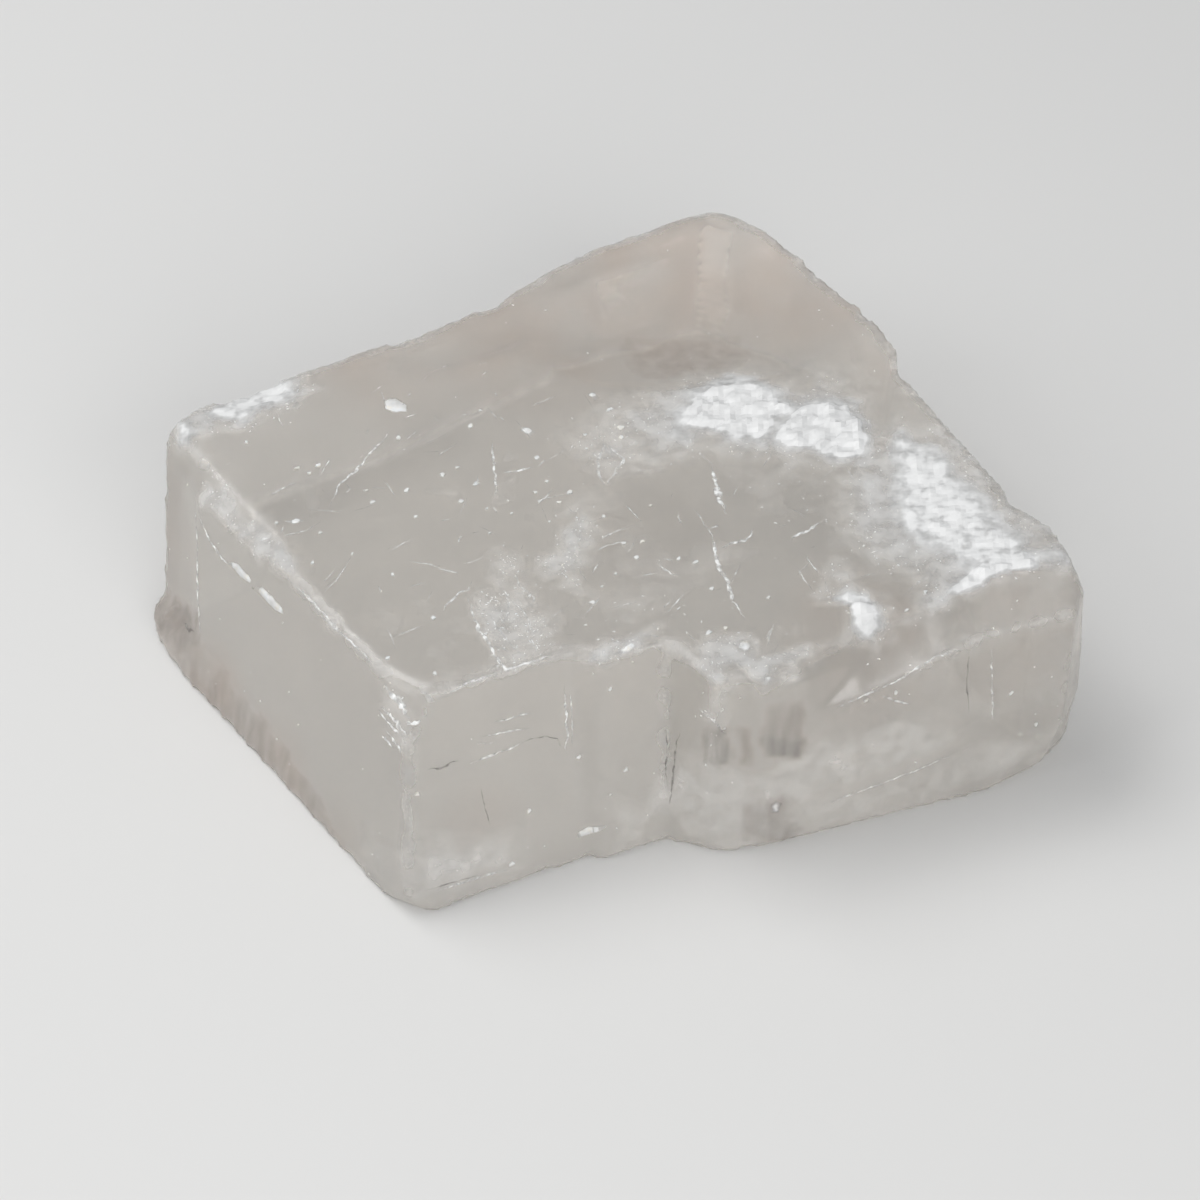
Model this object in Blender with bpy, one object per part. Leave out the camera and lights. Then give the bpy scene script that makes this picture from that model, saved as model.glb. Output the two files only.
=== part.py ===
"""A cleaved slab of optical calcite, built as one closed solid.

The crystal is one natural piece. Its body is a low slanted block whose upright
faces lean as calcite's cleavage makes them. Flat chips cut its corners, a
cleavage step and a sloping shoulder break the front, the left end spreads into a
low foot, and shell-shaped fractures hollow the back of the top face and its rim.

Lengths are in millimetres and angles in degrees until MM turns them to metres.
+Z is up, -Y is the front, and the slab rests on its lower cleavage face.
"""

import math

import bmesh
import bpy
from mathutils import Euler, Matrix, Vector, noise

MM = 0.001

# Calcite's cleavage: the blunt angle of each face, and the heading of the front face.
BLUNT_ANGLE = 101.92
FRONT_HEADING = 25.0

THICKNESS = 15.0  # from the resting face to the rim
BENDS = (13.5, 12.0, 4.0)  # heights at which an upright edge may bend
SPARE_FOOT = 1.0  # depth below the resting face that the last cut takes away

BOX_MIDDLE = Vector((0.42, 5.93, 0.0))  # becomes the origin, on the resting face

WORN_WIDTH = 0.5  # handling has rounded the edges this far back
SHARP_EDGE = 20.0  # where two faces turn by more than this angle
CALCITE = (0.72, 0.69, 0.64, 1.0)
ROUGHNESS = 0.25

# The upright edges of the block, anticlockwise from above, each from the rim down.
# Five points are the rim, three bends and the foot, and four leave out the top bend.
# Two are a straight edge, and one is a rim whose foot follows the cleavage.
FRONT_EDGES = (
    ((-12.0, -17.0, 15.0), (-12.3, -22.1, 0.0)),
    ((-1.9, -12.6, 15.0), (-0.9, -16.6, 0.0)),
    ((0.0, -13.2, 15.0), (0.3, -16.8, 0.0)),
    ((4.1, -11.8, 15.0), (4.2, -15.0, 0.0)),
    ((7.1, -15.4, 15.0), (7.3, -16.0, 0.0)),
    ((9.0, -14.8, 15.0), (8.5, -16.0, 0.0)),
    ((10.2, -15.7, 15.0), (9.8, -15.8, 0.0)),
)
SHOULDER_EDGES = (
    ((12.2, -14.4, 15.0), (12.6, -14.8, 14.4), (13.4, -15.2, 11.7),
     (12.8, -15.5, 3.0), (13.8, -14.5, 0.0)),
    ((15.7, -11.9, 15.0), (16.1, -12.7, 13.5), (16.5, -13.9, 12.2),
     (16.4, -14.2, 3.4), (17.1, -13.4, 0.0)),
    ((19.6, -9.2, 15.0), (19.9, -10.1, 14.2), (20.3, -12.0, 12.9),
     (20.3, -12.6, 3.9), (20.7, -12.2, 0.0)),
    ((24.3, -6.6, 15.0), (24.1, -7.5, 14.7), (24.6, -10.0, 13.7),
     (24.7, -10.6, 4.6), (24.7, -11.0, 0.0)),
)
RIGHT_EDGES = (
    ((28.6, -5.2, 15.0), (29.4, -6.6, 14.6), (30.4, -8.1, 13.9),
     (30.2, -8.8, 4.6), (29.3, -7.9, 0.0)),
    ((30.3, -3.9, 15.0), (30.8, -4.6, 14.4), (31.3, -5.4, 13.2),
     (31.8, -5.0, 4.6), (31.2, -5.7, 0.0)),
    ((30.0, -2.4, 15.0), (30.5, -4.4, 0.0)),
    ((29.4, -0.8, 15.0), (29.4, -3.6, 0.0)),
    ((26.9, 1.6, 15.0), (26.6, -1.4, 0.0)),
    ((26.7, 2.9, 15.0), (26.0, -0.5, 0.0)),
    ((21.1, 14.0, 15.0), (20.0, 9.6, 0.0)),
    ((20.5, 14.8, 15.0),),
)
BACK_EDGES = (
    ((20.5, 17.4, 15.0),),
    ((18.2, 22.9, 15.0), (17.6, 22.6, 11.0), (17.8, 19.2, 4.0), (16.8, 17.4, 0.0)),
    ((14.3, 28.8, 15.0),),
    ((10.0, 32.6, 15.0), (9.5, 31.8, 12.0), (9.8, 29.4, 5.0), (9.0, 27.4, 0.0)),
    ((7.9, 33.4, 15.0),),
    ((5.4, 32.2, 15.0),),
    ((-0.3, 29.0, 15.0), (-0.7, 28.6, 11.0), (0.0, 25.3, 4.0), (-1.0, 24.0, 0.0)),
    ((-7.3, 23.5, 15.0),),
    ((-14.5, 18.3, 15.0), (-14.6, 18.0, 11.0), (-14.9, 15.2, 4.0), (-15.6, 13.2, 0.0)),
    ((-20.5, 15.0, 15.0),),
    ((-27.0, 11.5, 15.0),),
)
LEFT_EDGES = (
    ((-29.2, 9.2, 15.0), (-29.4, 8.8, 13.5), (-30.1, 6.4, 2.9),
     (-31.0, 5.3, 1.4), (-30.7, 4.4, 0.0)),
    ((-27.5, 6.9, 15.0), (-27.8, 6.1, 13.5), (-28.7, 3.7, 3.4),
     (-29.4, 2.5, 2.2), (-29.6, 2.2, 0.0)),
    ((-25.9, 4.6, 15.0), (-26.4, 2.7, 13.5), (-27.4, 0.8, 3.6),
     (-27.9, 0.0, 2.2), (-28.0, -0.4, 0.0)),
    ((-20.9, -2.2, 15.0), (-20.8, -4.7, 14.7), (-21.5, -7.7, 4.0),
     (-21.6, -8.2, 2.2), (-21.7, -8.9, 0.0)),
    ((-18.4, -8.0, 15.0), (-19.3, -12.3, 0.0)),
)

# Chips: flat cuts, each through three points of the block.
CHIPS = {
    "front corner": ((-13.6, -14.4, 15.0), (-10.5, -16.4, 15.0), (-12.1, -18.6, 10.8)),
    "front foot": ((-14.0, -19.7, 0.0), (-10.6, -21.3, 0.0), (-12.3, -21.7, 2.0)),
    "left corner": ((-28.0, 10.9, 15.0), (-28.9, 8.1, 15.0), (-30.0, 9.1, 12.4)),
}
INSIDE = Vector((0.0, 5.0, 7.0))

# Shell-shaped fractures in the top face: where each is, its half widths, its depth,
# the heading of its long side, and how much it tips towards the front.
HOLLOWS = {
    "back hollow": ((6.5, 22.4), (13.0, 9.0), 1.9, 12.0, 3.0),
    "back left hollow": ((-8.0, 20.4), (9.0, 3.6), 0.7, 34.0, 0.0),
    "back right hollow": ((17.4, 14.6), (3.4, 6.0), 0.6, 22.0, 0.0),
    "left rim chip": ((-23.8, 12.2), (3.4, 1.2), 0.5, 29.0, 0.0),
    "back rim chip": ((-7.6, 23.0), (2.4, 1.1), 0.7, 36.0, 0.0),
}
HOLLOW_WANDER = 0.12  # how far a hollow's surface strays from smooth
RIPPLE_LENGTH = 3.0  # and the length of that straying
BALL_OVER_DEPTH = 3.0  # a hollow's cutter is this many times as tall as the hollow is deep


def clear_scene():
    for item in list(bpy.data.objects):
        bpy.data.objects.remove(item, do_unlink=True)


def lean():
    """How far an edge moves sideways from rim to foot, as the cleavage leans it."""
    half = math.radians(BLUNT_ANGLE / 2)
    along = math.cos(2 * half) / math.cos(half)
    reach = THICKNESS * along / math.sqrt(1 - along * along)
    bisector = math.radians(FRONT_HEADING) + half
    return Vector((reach * math.cos(bisector), reach * math.sin(bisector), -THICKNESS))


def full_edge(edge):
    """Rim, three bends, foot and spare foot of an upright edge."""
    points = [Vector(point) for point in edge]
    if len(points) == 1:
        points.append(points[0] + lean())
    if len(points) == 2:
        rim, foot = points
        points[1:1] = [rim.lerp(foot, 1 - height / THICKNESS) for height in BENDS]
    if len(points) == 4:
        points.insert(1, points[0].lerp(points[1], 0.5))
    points.append(points[-1] - Vector((0, 0, SPARE_FOOT)))
    return points


def block():
    """The slanted block, its upright edges joined by bands of flat faces."""
    edges = FRONT_EDGES + SHOULDER_EDGES + RIGHT_EDGES + BACK_EDGES + LEFT_EDGES
    shape = bmesh.new()
    columns = [[shape.verts.new(p) for p in full_edge(edge)] for edge in edges]
    shape.faces.new([column[0] for column in columns])
    shape.faces.new([column[-1] for column in reversed(columns)])
    for this, after in zip(columns, columns[1:] + columns[:1]):
        for upper, lower in zip(range(5), range(1, 6)):
            shape.faces.new((after[upper], this[upper], this[lower]))
            shape.faces.new((after[upper], this[lower], after[lower]))
    bmesh.ops.recalc_face_normals(shape, faces=shape.faces)
    return shape


def cut_flat(shape, corners):
    """Takes away what stands outside the plane through three points."""
    first, second, third = (Vector(corner) for corner in corners)
    normal = (second - first).cross(third - first).normalized()
    if normal.dot(INSIDE - first) > 0:
        normal.negate()
    cut = bmesh.ops.bisect_plane(
        shape,
        geom=list(shape.verts) + list(shape.edges) + list(shape.faces),
        plane_co=first,
        plane_no=normal,
        clear_outer=True,
    )
    edges = [item for item in cut["geom_cut"] if isinstance(item, bmesh.types.BMEdge)]
    bmesh.ops.edgeloop_fill(shape, edges=edges)


def finish(name, shape):
    """Turns a shape in millimetres into a Blender object in metres."""
    bmesh.ops.translate(shape, vec=-BOX_MIDDLE, verts=shape.verts)
    bmesh.ops.transform(shape, matrix=Matrix.Scale(MM, 4), verts=shape.verts)
    mesh = bpy.data.meshes.new(name)
    shape.to_mesh(mesh)
    shape.free()
    item = bpy.data.objects.new(name, mesh)
    bpy.context.scene.collection.objects.link(item)
    return item


def helper(name, shape):
    """A cutting shape that isn't a part of the crystal."""
    item = finish(name, shape)
    item.display_type = "WIRE"
    item.hide_render = True
    return item


def hollow_cutter(name, place, widths, depth, heading, tip):
    """The long ball that leaves a hollow of these half widths and depth in the top face."""
    height = BALL_OVER_DEPTH * depth
    rise = height - depth
    spread = math.sqrt(1 - (rise / height) ** 2)
    turn = Euler((math.radians(tip), 0, math.radians(heading))).to_matrix()
    centre = Vector((place[0], place[1], THICKNESS + rise))
    shape = bmesh.new()
    bmesh.ops.create_icosphere(shape, subdivisions=5, radius=1.0)
    for vert in shape.verts:
        way = vert.co.normalized()
        spot = Vector((way.x * widths[0], way.y * widths[1], way.z * height * spread)) / spread
        spot += way * HOLLOW_WANDER * noise.noise((spot + centre) / RIPPLE_LENGTH)
        vert.co = centre + turn @ spot
    return helper(name, shape)


def foot_cutter():
    """The slab that cuts the spare foot away and leaves the flat resting face."""
    side, depth = 90, 8
    shape = bmesh.new()
    bmesh.ops.create_cube(shape, size=1.0)
    bmesh.ops.scale(shape, vec=(side, side, depth), verts=shape.verts)
    bmesh.ops.translate(shape, vec=BOX_MIDDLE - Vector((0, 0, depth / 2)), verts=shape.verts)
    return helper("foot cutter", shape)


def wear(crystal):
    """Rounds the edges that handling has worn."""
    bevel = crystal.modifiers.new("worn edges", "BEVEL")
    bevel.width = WORN_WIDTH * MM
    bevel.segments = 2
    bevel.limit_method = "ANGLE"
    bevel.angle_limit = math.radians(SHARP_EDGE)


def cut_with(crystal, cutter):
    step = crystal.modifiers.new(cutter.name, "BOOLEAN")
    step.object = cutter
    step.operation = "DIFFERENCE"
    step.solver = "EXACT"


def calcite_material():
    material = bpy.data.materials.new("calcite")
    material.use_nodes = True
    shader = material.node_tree.nodes["Principled BSDF"]
    shader.inputs["Base Color"].default_value = CALCITE
    shader.inputs["Roughness"].default_value = ROUGHNESS
    shader.inputs["Metallic"].default_value = 0.0
    return material


def build():
    clear_scene()
    shape = block()
    for corners in CHIPS.values():
        cut_flat(shape, corners)
    crystal = finish("calcite_crystal", shape)
    crystal.data.materials.append(calcite_material())
    wear(crystal)
    for name, (place, widths, depth, heading, tip) in HOLLOWS.items():
        cut_with(crystal, hollow_cutter(name, place, widths, depth, heading, tip))
    cut_with(crystal, foot_cutter())


build()
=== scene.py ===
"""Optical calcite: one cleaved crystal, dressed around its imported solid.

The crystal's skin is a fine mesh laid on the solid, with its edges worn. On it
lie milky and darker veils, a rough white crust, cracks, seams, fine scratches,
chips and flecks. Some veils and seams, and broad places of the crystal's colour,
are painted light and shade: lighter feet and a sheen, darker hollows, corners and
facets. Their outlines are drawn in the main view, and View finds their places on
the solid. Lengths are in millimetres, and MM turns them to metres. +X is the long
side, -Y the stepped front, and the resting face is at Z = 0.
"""

import math
import random

import bmesh
import bpy
import numpy as np
from mathutils import Matrix, Vector, noise
from mathutils.bvhtree import BVHTree
from mathutils.geometry import delaunay_2d_cdt, intersect_point_line


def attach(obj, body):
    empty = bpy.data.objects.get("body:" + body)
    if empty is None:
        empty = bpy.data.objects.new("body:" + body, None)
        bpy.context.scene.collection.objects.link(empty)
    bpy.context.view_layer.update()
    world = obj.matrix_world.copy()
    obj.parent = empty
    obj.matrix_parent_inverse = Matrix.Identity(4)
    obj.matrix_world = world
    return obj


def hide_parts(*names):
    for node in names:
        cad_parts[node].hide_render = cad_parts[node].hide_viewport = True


bl_info = {
    "name": "Optical calcite",
    "version": (1, 0, 0),
    "blender": (4, 5, 0),
    "location": "View3D > Sidebar > Calcite",
    "description": "Builds a cleaved crystal of optical calcite on its packed solid",
    "category": "Add Mesh",
}

MM = 0.001
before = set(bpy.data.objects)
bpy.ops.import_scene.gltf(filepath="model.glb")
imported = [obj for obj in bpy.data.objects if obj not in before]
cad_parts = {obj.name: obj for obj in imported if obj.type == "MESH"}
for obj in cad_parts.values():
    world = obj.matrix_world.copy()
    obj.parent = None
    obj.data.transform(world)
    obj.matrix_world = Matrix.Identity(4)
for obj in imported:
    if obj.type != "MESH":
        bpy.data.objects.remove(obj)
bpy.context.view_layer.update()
NODE = "calcite_crystal"
WANDER_SEED = 5
noise.seed_set(WANDER_SEED)  # borders and paths wander the same way each time


# ---------------------------------------------------------------- what lies on it

# The camera of the main view, and that view's own units.
CAMERA_AIM = Vector((-0.42, -5.93, 7.5))  # the point at the middle of the frame
CAMERA_DISTANCE = 240.0
CAMERA_RISE = 43.0  # how far above level it stands, in degrees
CAMERA_LENS = 108.0
CAMERA_SENSOR = 36.0
VIEW_SIZE = 1200.0  # how wide and high the view is

# Outlines and paths are drawn in the main view, which is 1200 units wide and high. Each
# names a window, a part of the view that is enlarged for drawing, and lists its spots
# there as across,down. View finds the place on the solid behind a spot.
WINDOWS = {  # the window's left and upper edge in the view, and how many times enlarged
    "whole": (0, 0, 1.0),
    "right": (640, 540, 3.409),
    "front": (360, 600, 4.61),
    "back": (560, 360, 4.9),
    "middle": (430, 400, 5.6),
    "left": (180, 380, 5.227),
}

# The white patches, which have milk round them too.
LEFT_PATCH = ("back", "640,240 700,180 780,140 860,120 960,120 1010,170 1060,220 1120,235 "
        "1130,265 1070,275 1000,330 980,375 900,375 800,345 720,340 640,330 620,290")
RIGHT_PATCH = ("back", "1070,375 1130,300 1200,245 1290,225 1340,235 1400,240 1440,300 "
        "1470,370 1480,440 1460,480 1380,470 1280,450 1200,420 1120,400")
BACK_CORNER = ("left", "130,160 300,60 430,20 560,30 620,60 560,110 380,160 350,200 250,230 "
        "150,220")
RIM_PATCH = ("right", "1060,180 1130,110 1220,80 1300,50 1360,60 1350,100 1240,110 1150,160 "
        "1090,190")
NOTCH_PATCH = ("right", "660,200 720,195 780,200 800,230 820,290 780,320 740,300 700,230")

# Solid white flakes.
FLAKES = {
    "under the right patch": ("back", "1360,430 1420,420 1470,440 1460,480 1390,470"),
    "large chip at the left": ("left", "1070,110 1120,95 1190,135 1180,165 1100,165 1065,140"),
    "small chip at the left": ("left", "585,130 610,115 635,130 615,152"),
    "chip near the middle": ("middle", "500,165 540,150 590,180 570,195 530,185"),
    "upper rod": ("left", "255,960 290,950 330,990 370,1040 365,1065 320,1030"),
    "lower rod": ("left", "392,1085 430,1080 480,1130 535,1195 540,1225 500,1205 430,1140"),
    "sliver by the left rim": ("left", "550,740 600,722 645,735 600,752"),
    "chip at the foot": ("front", "1000,1075 1060,1045 1140,1040 1130,1060 1060,1085 1010,1098"),
    "first bit of the rim": ("front", "1060,240 1090,225 1110,250 1080,280"),
    "second bit of the rim": ("front", "1190,240 1240,190 1275,205 1250,240 1200,255"),
    "bit in the corner": ("front", "270,400 300,400 330,440 345,475 320,470 300,440"),
    "spot under the step": ("right", "445,905 460,890 480,900 475,930 450,930"),
    "bit behind the step": ("right", "330,352 350,340 378,355 365,385 340,370"),
    "bit under the rim": ("right", "410,470 440,460 455,480 430,500"),
    "bit beside the milk": ("back", "130,160 170,155 200,185 170,200"),
    "bit in the hatching": ("front", "150,440 190,460 215,490 190,500 160,470"),
}

# Milky patches, some of them painted light: veil, flecks, softness of the border in mm, and
# outline.
CLOUDS_AND_PAINTED_LIGHT = {
    "milk by the left patch": (0.34, 0.25, 1.2, ("back", "300,300 450,200 600,120 700,160 640,240 "
        "640,340 700,400 560,400 450,370 330,380")),
    "dense milk": (0.5, 0.5, 0.7, ("back", "520,330 600,240 660,240 660,380 600,400 540,390")),
    "behind the left patch": (0.25, 0.15, 1.2, ("back", "560,120 640,40 760,40 840,90 700,160")),
    "behind the right patch": (0.3, 0.3, 0.6, ("back", "1090,190 1140,160 1180,200 1120,220")),
    "feather": (0.42, 0.4, 1.2, ("middle", "830,650 870,660 870,760 930,750 860,820 850,900 "
        "870,940 810,960 790,1050 740,1030 760,960 700,970 640,980 620,900 690,860 760,850 "
        "750,760")),
    "frosted patch": (0.22, 0.3, 0.6, ("middle", "360,830 500,870 540,960 530,1060 620,1100 "
        "600,1200 720,1210 760,1300 700,1400 600,1440 480,1490 420,1510 370,1460 350,1380 "
        "290,1300 250,1240 220,1110 210,1080 330,1060 320,920")),
    "diamond": (0.15, 0.1, 0.5, ("middle", "980,230 1080,330 1040,400 990,490 940,420 930,350")),
    "right cloud": (1.15, 0.4, 1.2, ("right", "880,-350 980,-320 1100,-200 1230,-60 1290,0 "
        "1360,60 1240,110 1130,110 1000,40 900,-60 860,-200")),
    "thin right cloud": (0.22, 0.15, 1.2, ("right", "640,-60 800,-100 960,-20 1060,100 900,120 "
        "760,80 660,20")),
    "tail of the notch patch": (0.25, 0.2, 0.7, ("right", "640,60 700,90 780,200 700,230 650,220 "
        "630,160")),
    "left strip": (0.36, 0.2, 0.5, ("left", "110,560 190,560 290,620 380,700 480,800 560,890 "
        "640,970 620,1040 540,1020 480,960 400,890 330,840 240,770 140,680 90,620")),
    "left corner strip": (0.3, 0.15, 0.5, ("left", "0,340 60,340 160,440 150,470 60,380")),
    "back left edge": (0.25, 0.1, 1.2, ("left", "0,200 130,160 150,220 60,290 0,340")),
    "rim of the step": (0.4, 0.35, 0.7, ("right", "180,380 240,450 330,440 400,440 440,480 "
        "520,420 620,365 600,340 500,380 400,400 370,330 300,330")),
    "rim in the middle": (0.35, 0.3, 0.6, ("front", "1020,280 1100,200 1200,180 1330,120 1400,120 "
        "1300,190 1170,260 1060,300")),
    "rim of the shoulder": (0.2, 0.2, 0.6, ("right", "620,365 800,310 930,240 1060,180 1160,110 "
        "1100,190 960,260 820,330 640,380")),
    # painted light: the front is lighter towards its foot, where light comes out of the base
    "foot of the front": (0.32, 0, 1.8, ("front", "290,1100 700,1085 760,1180 500,1300 290,1360 "
        "210,1300")),
    # painted light: lighter at the foot, where light comes out of the base
    "foot in the middle": (0.2, 0.02, 1.2, ("front", "1150,940 1290,930 1330,1000 1290,1130 "
        "1190,1150 1160,1040")),
    "front corner": (0.2, 0.1, 0.5, ("front", "100,380 180,400 260,520 290,640 200,690 110,620")),
    "left of the notch": (0.2, 0.15, 0.5, ("right", "190,560 250,520 330,480 300,560 290,660")),
    "bulge": (0.22, 0, 1.2, ("right", "330,900 420,840 520,880 520,1000 430,1030 340,1040")),
    "right face top": (0.12, 0.05, 1.2, ("right", "900,420 1060,360 1200,320 1190,380 1050,420 "
        "920,480")),
    "back rim": (0.22, 0.15, 1.2, ("back", "1180,120 1300,60 1400,150 1420,230 1300,215 "
        "1200,200")),
    "round the left patch": (0.9, 0.4, 1.2, (*LEFT_PATCH, 1.28)),
    "round the right patch": (0.8, 0.4, 1.2, (*RIGHT_PATCH, 1.22)),
    "round the back corner": (0.5, 0.3, 1.2, (*BACK_CORNER, 1.3)),
    "round the rim patch": (0.6, 0.3, 1.2, (*RIM_PATCH, 1.6)),
    "round the notch patch": (0.5, 0.3, 1.2, (*NOTCH_PATCH, 1.4)),
    "left patch": (2.2, 0.35, 0.45, LEFT_PATCH),
    "right patch": (2.4, 0.35, 0.28, RIGHT_PATCH),
    "back corner": (1, 0.35, 0.55, BACK_CORNER),
    "rim patch": (1.8, 0.35, 0.4, RIM_PATCH),
    "notch patch": (1.5, 0.35, 0.45, NOTCH_PATCH),
    "left corner": (1, 0.35, 0.4, ("left", "5,220 50,225 60,290 40,340 5,335")),
    # milk over the right cloud, and a painted sheen on the back right of the top
    "right bloom": (0.35, 0.1, 2, ("whole", "850,460 900,420 960,440 1010,500 1060,560 1000,590 "
        "930,600 880,560 840,520")),
    "left bloom": (0.3, 0.1, 1.8, ("whole", "600,470 560,440 600,410 680,380 740,365 800,390 "
        "860,400 880,450 820,470 700,450 650,470")),
    "bloom on the right face": (0.1, 0, 1.2, ("whole", "905,650 985,612 1060,580 1080,610 "
        "1075,680 1000,720 900,740 820,760 815,725 880,700")),
    # painted light: the right face is lighter at its foot
    "foot of the right face": (0.2, 0, 1.2, ("whole", "790,800 890,775 985,740 1058,730 1045,762 "
        "985,785 900,812 800,834")),
    "haze in the middle": (0.07, 0.05, 2, ("back", "60,1150 300,1100 560,1120 760,1200 900,1280 "
        "1100,1330 1000,1400 700,1440 500,1370 200,1420 40,1400")),
    "haze behind": (0.08, 0.04, 2, ("back", "760,480 1000,470 1300,500 1440,520 1380,760 1100,780 "
        "900,720 800,640")),
    # painted light: the step and the right face are lighter at their foot
    "pale foot of the step": (0.26, 0, 1.2, ("right", "0,960 80,800 200,760 400,820 560,700 "
        "900,600 1100,660 1000,740 800,800 560,880 530,1000 250,1040 120,940")),
    # painted light: the front is lighter at its foot on the left
    "pale foot at the left": (0.14, 0, 1.2, ("front", "0,1050 100,1080 210,1180 240,1360 150,1340 "
        "0,1200")),
}

# Dark veils, some of them painted shade: how strong, softness of the border in mm, and outline.
SHADES = {
    # painted shade: the knob at the left end is darkened
    "knob": (0.15, 0.5, ("whole", "152,602 170,594 195,612 196,650 175,648 155,628")),
    "foot band": (0.08, 0.7, ("whole", "172,648 200,655 260,718 300,768 345,850 320,832 250,758 "
        "200,702")),
    "large dark patch": (0.16, 0.3, ("right", "430,570 550,560 550,735 430,740")),
    "its lower half": (0.24, 0.3, ("right", "430,670 550,680 550,735 430,740")),
    "left dark patch": (0.24, 0.3, ("right", "225,640 300,645 300,765 225,770")),
    "narrow dark patch": (0.12, 0.3, ("right", "338,640 372,640 372,770 338,765")),
    # painted shade under the undercut foot of the step
    "shade at the undercut foot": (0.14, 0.6, ("right", "380,900 510,880 515,1015 430,1030 370,1010")),
    # painted shade in the hollow at the back of the top
    "back hollow": (0.08, 1.5, ("whole", "625,350 668,338 735,342 745,362 715,374 660,380 "
        "630,372")),
}

# Broad places painted darker in the crystal's colour, given the same way. The end facet, the back
# slope, the wedge and the top's middle are painted shade.
DIM = {
    # painted shade: the left end facet is darkened
    "end facet": (0.28, 0.7, ("whole", "163,445 190,460 196,600 162,590")),
    # painted shade on the back slope
    "back pink": (0.07, 2, ("whole", "290,420 560,300 700,240 790,280 850,345 760,345 640,345 "
        "540,390 400,450 300,470")),
    "right uprights": (0.14, 0.5, ("right", "1050,480 1090,470 1110,590 1170,590 1165,620 "
        "1060,620")),
    # painted shade: the wedge under the top's right edge
    "wedge": (0.18, 0.35, ("whole", "797,668 850,645 913,615 985,600 960,618 905,650 885,690 "
        "850,705 812,712")),
    "pink on the front": (0.08, 1.2, ("whole", "423,802 470,798 525,800 523,832 470,836 425,834")),
    # painted shade: the middle of the top is darkened
    "top mid": (0.18, 2, ("back", "120,880 300,680 560,640 700,760 720,900 600,1080 400,1100 "
        "200,1050")),
    "right end": (0.24, 1, ("whole", "985,640 1040,622 1078,612 1080,680 1060,725 1000,735 "
        "980,700")),
    "shoulder": (0.28, 0.8, ("whole", "815,712 900,680 985,645 1055,622 1050,650 985,690 900,722 "
        "830,742")),
    "top left": (0.14, 1.5, ("whole", "235,440 330,420 450,400 470,440 400,480 300,520 240,500")),
}

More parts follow.
